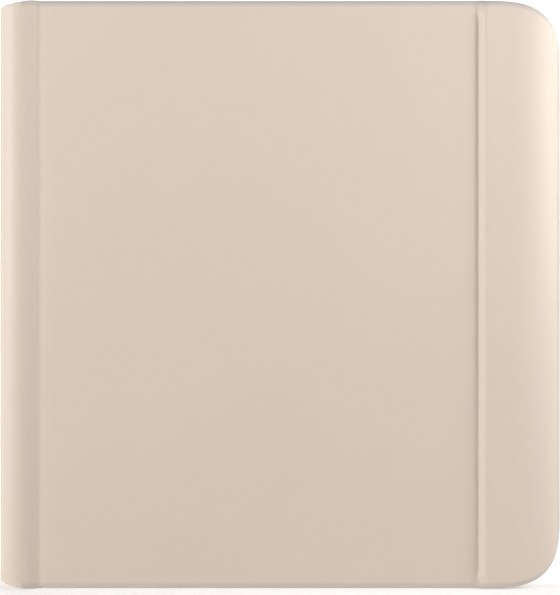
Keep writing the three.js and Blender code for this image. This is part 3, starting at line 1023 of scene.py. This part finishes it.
def casing_low(x):
    """The height of the casing's lower edge, which rises round its corners."""
    x0, x1 = CASING[:2]
    radius, run = 0.0, 0.0
    if x < x0 + READER_LEFT_CORNER:
        radius, run = READER_LEFT_CORNER, x0 + READER_LEFT_CORNER - x
    if x > x1 - READER_CORNER:
        radius, run = READER_CORNER, x - x1 + READER_CORNER
    return bezel_lo[2] + radius - math.sqrt(max(0.0, radius ** 2 - run ** 2))


def housing_columns():
    """Where the columns of points stand, close together on the roll, the slope and the grip's round."""
    x0, x1 = CASING[:2]
    sx0, sx1 = SCREEN[:2]
    xs = [x0 + run for run in ROLL_RUNS]
    xs += spread(x0 + 2, sx0 - OPENING_CHAMFER, 4) + spread(sx0, sx1, 20)
    xs += spread(sx1 + OPENING_CHAMFER, GRIP_FOOT - 0.4, 4) + spread(GRIP_FOOT, GRIP_TOP, 12)
    xs += spread(GRIP_TOP + 0.6, GRIP_ROUND_X, 5)
    wrap = [math.sin(math.radians(a)) for a in spread(0, 90, 22)]
    return xs + [GRIP_ROUND_X + (x1 - GRIP_ROUND_X) * share for share in wrap[1:]]


def housing_rows():
    """The heights of the rows of points on the left, from the foot to the top."""
    z0, z1 = CASING[2:]
    sz0, sz1 = SCREEN[2:]
    low = [z0 + d for d in ROLL_RUNS + LOW_ROWS] + [sz0 - OPENING_CHAMFER, sz0]
    high = [sz1 + OPENING_CHAMFER] + [z1 - d for d in reversed(ROLL_RUNS + HIGH_ROWS)]
    return low + spread(sz0, sz1, 26)[1:] + high


def drawn_in(x, level):
    """A row's height at x, drawn in where the corners are round."""
    z0, z1 = CASING[2:]
    lift = casing_low(x) - z0
    shrink = (CORNER_SPAN - lift) / CORNER_SPAN
    if level - z0 < CORNER_SPAN:
        return z0 + lift + (level - z0) * shrink
    if z1 - level < CORNER_SPAN:
        return z1 - lift - (z1 - level) * shrink
    return level


def housing_pair(x, z, on_rim):
    """The housing's outer point at a place on its front, and the inner point behind it."""
    x0, x1, z0, z1 = CASING
    sx0, sx1, sz0, sz1 = SCREEN
    rim_y = bezel_hi[1]
    d = max(0.0, inside_casing(x, z))
    y = reader_face(x)
    if d < READER_ROLL:
        y += READER_ROLL - math.sqrt(READER_ROLL ** 2 - (READER_ROLL - d) ** 2)
    if on_rim:
        y = rim_y
    if sx0 - 0.01 < x < sx1 + 0.01 and sz0 - 0.01 < z < sz1 + 0.01:
        y += OPENING_STEP
    y = min(y, rim_y)
    inner_x = min(max(x, x0 + HOUSING_RIM), x1 - HOUSING_RIM)
    low = casing_low(inner_x)
    inner_z = min(max(z, low + HOUSING_RIM), z0 + z1 - low - HOUSING_RIM)
    inner_y = rim_y
    if d > HOUSING_RIM:
        wall = LIP if x < GRIP_FOOT else GRIP_WALL
        inner_y = max(min(rim_y, reader_face(x) + wall), y + 0.02)
    return [(x, y, z), (inner_x, inner_y, inner_z)]


def housing_faces(grid, points):
    """The housing's outer and inner sides, the walls of its page opening and its rim."""
    sx0, sx1, sz0, sz1 = SCREEN
    last_i, last_j = len(grid) - 1, len(grid[0]) - 1

    def is_open(i, j):
        x = (points[grid[i][j]][0] + points[grid[i + 1][j]][0]) / 2
        z = (points[grid[i][j]][2] + points[grid[i][j + 1]][2]) / 2
        return sx0 < x < sx1 and sz0 < z < sz1

    faces = []
    for i in range(last_i):
        for j in range(last_j):
            a, b, c, d = grid[i][j], grid[i + 1][j], grid[i + 1][j + 1], grid[i][j + 1]
            if is_open(i, j):
                continue
            faces.append((a, b, c, d))
            faces.append((d + 1, c + 1, b + 1, a + 1))
            if i + 1 < last_i and is_open(i + 1, j):
                faces.append((b, b + 1, c + 1, c))
            if i > 0 and is_open(i - 1, j):
                faces.append((a, d, d + 1, a + 1))
            if j + 1 < last_j and is_open(i, j + 1):
                faces.append((d, c, c + 1, d + 1))
            if j > 0 and is_open(i, j - 1):
                faces.append((a, a + 1, b + 1, b))
    foot = [column[0] for column in grid]
    top = [column[last_j] for column in grid]
    for side in (foot, top, grid[0], grid[last_i]):
        faces += [(a, b, b + 1, a + 1) for a, b in zip(side, side[1:])]
    return faces


def front_housing():
    """The front shell of the reader, with its page opening and grip slope."""
    xs = housing_columns()
    zs = housing_rows()
    points = []
    grid = []
    for i, x in enumerate(xs):
        column = []
        for j, level in enumerate(zs):
            on_rim = i in (0, len(xs) - 1) or j in (0, len(zs) - 1)
            column.append(len(points))
            points += housing_pair(x, drawn_in(x, level), on_rim)
        grid.append(column)
    faces = clean(housing_faces(grid, points), points)
    return make_object("front_housing", points, faces, MATERIALS["casing"], 35)


KEY_FIT = 0.25
KEY_FLANGE = 0.6
KEY_FLANGE_DEPTH = 0.4


def page_key(which):
    """A page-turn key, a long rounded cap with a soft crown on a flange, and a cutter for its hole."""
    name = "page_button_" + which
    lo, hi = box_mm(name)
    x0, x1 = lo[0] + KEY_FLANGE, hi[0] - KEY_FLANGE
    z0, z1 = lo[2] + KEY_FLANGE, hi[2] - KEY_FLANGE
    radius = (x1 - x0) / 2 - 0.02
    outline = rounded_outline(x0, x1, z0, z1, radius, radius, 12)
    top = lo[1]
    flange_y = hi[1] - KEY_FLANGE_DEPTH
    rings = [(2.2, top + 0.16), (1.9, top + 0.13), (1.5, top + 0.05), (1.1, top), (0.7, top + 0.02)]
    rings += [(0.38, top + 0.1), (0.15, top + 0.26), (0.03, top + 0.45), (0.0, top + 0.65)]
    rings += [(0.0, flange_y), (-KEY_FLANGE, flange_y), (-KEY_FLANGE, hi[1])]
    key = rings_body("page_key_" + which, outline, rings, MATERIALS["keys"], 50)
    dress(key, name, name)
    fit = KEY_FIT
    hole = rounded_outline(x0 - fit, x1 + fit, z0 - fit, z1 + fit, radius + fit, radius + fit, 12)
    mouth = [(-0.25, top - 0.5), (-0.25, GRIP_Y - 0.01), (-0.08, GRIP_Y + 0.1)]
    mouth += [(0.0, GRIP_Y + 0.27), (0.0, -1.0)]
    return rings_body("cutter", hole, mouth, MATERIALS["keys"])


def power_key():
    """The power button: a dished round cap on a flange inside the casing."""
    flange = 0.8
    flange_y = power_lo[1] + 0.5
    radius = (power_hi[0] - power_lo[0]) / 2 - flange
    top = power_hi[1]
    rings = [(-flange, power_lo[1]), (-flange, flange_y), (0.0, flange_y), (0.0, top - 0.4)]
    rings += [(0.06, top - 0.22), (0.2, top - 0.07), (0.42, top), (0.9, top - 0.02), (2.0, top - 0.14)]
    rings += [(3.4, top - 0.24), (4.6, top - 0.28)]
    key = rings_body("power_key", round_outline(POWER_X, POWER_Z, radius), rings, MATERIALS["keys"], 50)
    dress(key, "power_button", "power_button")


def reader_casing():
    """The reader's two housings, its page keys, charging port and power button."""
    front = front_housing()
    for which in ("lower", "upper"):
        cut(front, page_key(which))
    shade(front, 35)
    dress(front, "reader", "front_bezel")
    softened("rear_cover", "rear_housing", "reader", "casing", 0.3, 3)
    softened("usb_port", "charging_port", "reader", "steel", 0.12)
    power_key()


reader_casing()

# Stylus

stylus_lo, stylus_hi = box_mm("stylus_barrel")
STYLUS_X = (stylus_lo[0] + stylus_hi[0]) / 2
STYLUS_R = (stylus_hi[0] - stylus_lo[0]) / 2
STYLUS_WALL = 0.8
STYLUS_BEVEL = 0.12
STYLUS_BEVEL_RISE = 0.15
NIB_R = 0.7
NIB_SEAT = 8.0
CONE_BORE_R = 0.95
CONE_TIP_R = 1.5
CAP_DOME = 2.2
SIDE_KEY_FIT = 0.22
SIDE_KEY_CROWN = ((0.0, -0.3, True), (0.12, -0.08, True), (0.35, -0.03, True))
SIDE_KEY_HOLE = ((0.0, 0.5, False), (0.0, 3.0, True))


def nib_profile(cone_z):
    """A pin with a rounded tip, seated in the cone."""
    foot = box_mm("stylus_nib")[0][2]
    tip = [(0, foot), (0.22, foot + 0.04), (0.38, foot + 0.18), (0.5, foot + 0.5), (0.68, foot + 1.3)]
    return tip + [(NIB_R, foot + 2), (NIB_R, cone_z + NIB_SEAT), (0, cone_z + NIB_SEAT)]


def cone_profile(low, high):
    """A softly curved cone, bored for the nib."""
    curve = []
    for angle in spread(2, 90, 22):
        radius = CONE_TIP_R + (STYLUS_R - CONE_TIP_R) * math.sin(math.radians(angle)) ** 0.92
        curve.append((radius, low + 0.25 + (high - low - 0.6) * (angle / 90) ** 1.1))
    foot = [(CONE_BORE_R, low + 0.3), (1.1, low), (1.35, low + 0.02)]
    return foot + curve + [(STYLUS_R - 0.08, high), (CONE_BORE_R, high), (CONE_BORE_R, low + 0.3)]


def barrel_profile(low, high):
    """A tube with bevelled ends."""
    bore_r, end_r = STYLUS_R - STYLUS_WALL, STYLUS_R - STYLUS_BEVEL
    side = [(STYLUS_R, z) for z in spread(low + 2, high - 2, 12)]
    foot = [(bore_r, low), (end_r, low), (STYLUS_R, low + STYLUS_BEVEL_RISE)]
    top = [(STYLUS_R, high - STYLUS_BEVEL_RISE), (end_r, high), (bore_r, high), (bore_r, low)]
    return foot + side + top


def cap_profile(low, high):
    """A plug with a domed top."""
    side = [(0, low), (STYLUS_R - STYLUS_BEVEL, low), (STYLUS_R, low + STYLUS_BEVEL_RISE)]
    dome = arc(STYLUS_R - CAP_DOME, high - CAP_DOME, CAP_DOME, CAP_DOME, 10, 90, 10)
    return side + [(STYLUS_R, high - CAP_DOME)] + dome + [(0, high)]


def stylus():
    """A matt barrel between a cone with a replaceable nib and a domed cap, with one side key."""
    cone_lo, cone_hi = box_mm("stylus_cone")
    cap_lo, cap_hi = box_mm("stylus_tail_cap")
    key_lo, key_hi = box_mm("stylus_button")
    pieces = (
        ("stylus_nib_tip", nib_profile(cone_lo[2]), "nib", "stylus_nib"),
        ("stylus_front_cone", cone_profile(cone_lo[2], cone_hi[2]), "stylus", "stylus_cone"),
        ("stylus_body", barrel_profile(stylus_lo[2], stylus_hi[2]), "stylus", "stylus_barrel"),
        ("stylus_cap", cap_profile(cap_lo[2], cap_hi[2]), "stylus", "stylus_tail_cap"),
    )
    for name, profile, slot, node in pieces:
        obj = turned(name, profile, STYLUS_X, MATERIALS[slot])
        if node == "stylus_barrel":
            cut(obj, side_key_shape("cutter", key_lo, key_hi, SIDE_KEY_FIT, SIDE_KEY_HOLE))
            shade(obj, 30)
        dress(obj, "stylus", node)
    steps = ((0.0, key_lo[0] - STYLUS_X, False), *SIDE_KEY_CROWN)
    key = side_key_shape("stylus_side_key", key_lo, key_hi, 0.0, steps)
    dress(key, "stylus_button", "stylus_button")


def side_key_shape(name, lo, hi, grow, steps):
    """A long rounded key on the side of the barrel, in steps of (inset, distance, follows).

    The distance is measured from the barrel's surface where the step follows that, else from its axis.
    """
    half = (hi[1] - lo[1]) / 2 + grow
    z0, z1 = lo[2] - grow, hi[2] + grow
    middle = (z0 + z1) / 2
    across = [(half * c, half * (1 - math.sqrt(max(0.0, 1 - c * c)))) for c in spread(-1, 1, 12)]
    ring = [(y, z1 - drop) for y, drop in across] + [(y, z0 + drop) for y, drop in reversed(across)]
    points = []
    loops = []
    for inset, distance, follows in steps:
        loops.append(list(range(len(points), len(points) + len(ring))))
        for ring_y, ring_z in ring:
            y = ring_y * (1 - inset / half)
            z = middle + (ring_z - middle) * (1 - inset / ((z1 - z0) / 2))
            surface = math.sqrt(STYLUS_R ** 2 - y ** 2) if follows else 0.0
            points.append((STYLUS_X + surface + distance, y, z))
    faces = bands(loops) + [tuple(reversed(loops[0])), tuple(loops[-1])]
    return make_object(name, points, clean(faces, points), MATERIALS["keys"], 50)


stylus()

# Stage, lights and camera

FRONT_DISTANCE = 320.0
VIEW_HEIGHT = 166.15
VIEW_SHIFT = (-0.0008, -0.0050)

# The sweep, in metres: its near edge, where its glow rises behind the object, its bend and its top.
SWEEP_NEAR = -2.5
GLOW_FROM = -0.004
GLOW_TO = 0.02
SWEEP_BEND_Y = 0.9
SWEEP_BEND_R = 0.5
SWEEP_TOP = 2.6
SWEEP_HALF_WIDTH = 2.6
FLOOR_GLOW = 0.27
BACKDROP_GLOW = 0.56
WORLD_STRENGTH = 0.13

# Each softbox: name, place, what it points at, width and height, power and spread in degrees.
MIDDLE = (0, 0, MIDDLE_Z * MM)
SOFTBOXES = (
    ("left_high", (-0.66, -0.42, 0.42), MIDDLE, (0.25, 0.5), 1.5, 180),
    ("left_front", (-0.78, -0.45, 0.2), (0, 0, 0.6), (0.25, 0.8), 1.8, 180),
    ("left_side", (-0.84, -0.32, 0.16), (0, 0, 0.6), (0.15, 0.8), 5.9, 180),
    ("right_front", (0.74, -0.52, 0.24), (0, 0, 0.8), (0.25, 0.8), 3.1, 100),
    ("right_side", (0.9, -0.03, 0.08), MIDDLE, (0.2, 0.8), 1.9, 180),
    ("right_near", (0.3, -0.1, 0.21), (0.05, 0, 0.24), (0.12, 0.2), 0.5, 180),
)


def aim(obj, target):
    """Turns a light to a point."""
    direction = Vector(target) - obj.location
    obj.rotation_euler = direction.to_track_quat("-Z", "Y").to_euler()


def softbox(name, place, target, size, power, spread_angle):
    """A rectangular light."""
    data = bpy.data.lights.new(name, "AREA")
    data.shape = "RECTANGLE"
    data.size, data.size_y = size
    data.energy = power
    data.spread = math.radians(spread_angle)
    obj = bpy.data.objects.new(name, data)
    bpy.context.collection.objects.link(obj)
    obj.location = place
    aim(obj, target)


def stage():
    """A white floor that sweeps up into a white backdrop, and glows more behind the object."""
    profile = [(SWEEP_NEAR, 0.0), (GLOW_FROM, 0.0), (GLOW_TO, 0.0)]
    profile += arc(SWEEP_BEND_Y, SWEEP_BEND_R, SWEEP_BEND_R, SWEEP_BEND_R, -90, 0, 12)
    profile += [(SWEEP_BEND_Y + SWEEP_BEND_R, SWEEP_TOP)]
    sides = (-SWEEP_HALF_WIDTH, SWEEP_HALF_WIDTH)
    points = [(x / MM, y / MM, z / MM) for y, z in profile for x in sides]
    faces = [(2 * i, 2 * i + 1, 2 * i + 3, 2 * i + 2) for i in range(len(profile) - 1)]
    shade_or_glow = [float(y >= GLOW_TO) for y, z in profile for x in sides]
    s = Surface("white_paper", roughness=0.9, Specular_IOR_Level=0.1)
    s.colour(s.between(s.noise(60, 2), srgb(250, 250, 250), srgb(252, 252, 252)))
    s.shader.inputs["Emission Color"].default_value = (1, 1, 1, 1)
    glow = s.level(s.attribute("shade_or_glow"), FLOOR_GLOW, BACKDROP_GLOW, 0.0, 1.0)
    s.links.new(glow, s.shader.inputs["Emission Strength"])
    make_object("studio_sweep", points, faces, s.material, 60, shade_or_glow=shade_or_glow)


def studio():
    """A dim white world and six softboxes."""
    world = bpy.data.worlds.new("studio")
    world.use_nodes = True
    background = world.node_tree.nodes["Background"]
    background.inputs["Color"].default_value = (1, 1, 1, 1)
    background.inputs["Strength"].default_value = WORLD_STRENGTH
    bpy.context.scene.world = world
    for row in SOFTBOXES:
        softbox(*row)
    bpy.context.scene.view_settings.view_transform = "Standard"


def camera():
    """A level camera in front of the object."""
    data = bpy.data.cameras.new("camera")
    obj = bpy.data.objects.new("camera", data)
    bpy.context.collection.objects.link(obj)
    obj.location = (0, (STRIP_Y - FRONT_DISTANCE) * MM, MIDDLE_Z * MM)
    obj.rotation_euler = (math.pi / 2, 0, 0)
    data.lens = data.sensor_width * FRONT_DISTANCE / VIEW_HEIGHT
    data.shift_x, data.shift_y = VIEW_SHIFT
    data.clip_start, data.clip_end = 0.01, 20
    bpy.context.scene.camera = obj


stage()
studio()
camera()
